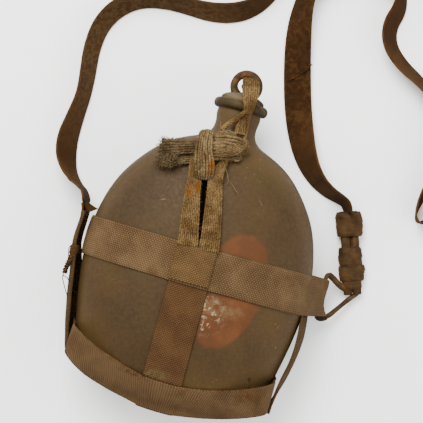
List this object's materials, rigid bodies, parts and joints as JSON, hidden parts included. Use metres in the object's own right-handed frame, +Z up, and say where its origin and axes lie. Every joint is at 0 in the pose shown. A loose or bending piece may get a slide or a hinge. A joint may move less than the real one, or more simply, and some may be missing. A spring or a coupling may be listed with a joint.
{
  "type": "canteen",
  "caption": "Painted aluminium field canteen in a cotton web harness, with a cork stopper, tie tapes and a long shoulder strap, lying on its back.",
  "frame": {"origin": "on the back strap's resting face, under the middle of the belt", "axes": "+Y along the flask towards the neck, +X across the flask towards the belt's ring, +Z up out of the flask's front; the canteen lies on its back on Z = 0"},
  "size_m": [0.282, 0.359, 0.0843],
  "materials": {
    "painted_flask": "worn matt khaki-brown paint",
    "bare_aluminium": "dull, tarnished",
    "cork": "cork",
    "harness_webbing": "coarse cotton webbing",
    "strap_webbing": "fine dark cotton webbing",
    "cotton_tape": "loose frayed cotton tape",
    "cotton_thread": "twisted thread"
  },
  "bodies": {
    "flask": {"flask_shell": "painted_flask", "belt": "harness_webbing", "vertical_strap": "harness_webbing", "back_strap": "harness_webbing", "bottom_band": "harness_webbing", "left_side_strap": "harness_webbing", "right_side_strap": "harness_webbing", "strap_anchor": "strap_webbing", "shoulder_strap": "strap_webbing", "tape_patch": "cotton_tape", "tie_tape_left": "cotton_tape", "tie_tape_right": "cotton_tape", "knot_loop": "cotton_tape", "knot_bundle": "cotton_tape", "tie_tail": "cotton_tape", "tape_clump": "cotton_tape", "tape_riser": "cotton_tape", "anchor_whipping": "cotton_thread", "repair_cord": "cotton_thread"},
    "stopper": {"stopper_cap": "bare_aluminium", "stopper_eye": "bare_aluminium", "stopper_cork": "cork", "stopper_washer": "bare_aluminium", "stopper_burr": "bare_aluminium", "stopper_tape": "cotton_tape", "tape_end_knot": "cotton_tape"},
    "strap_end": {"belt_ring": "strap_webbing", "strap_fold": "strap_webbing", "lower_keeper": "strap_webbing", "middle_keeper": "strap_webbing"},
    "keeper": {"sliding_keeper": "strap_webbing"}
  },
  "joints": [
    {"name": "stopper_pull", "type": "slide", "parent": "flask", "child": "stopper", "axis": [0, 1, 0], "range_m": [0, 0.034]},
    {"name": "strap_end_swing", "type": "hinge", "parent": "flask", "child": "strap_end", "pos_m": [0.093, 0, 0.016], "axis": [0, -1, 0], "range_deg": [0, 75]},
    {"name": "keeper_slide", "type": "slide", "parent": "strap_end", "child": "keeper", "axis": [0.309, -0.9511, 0], "range_m": [0, 0.0078]}
  ]
}
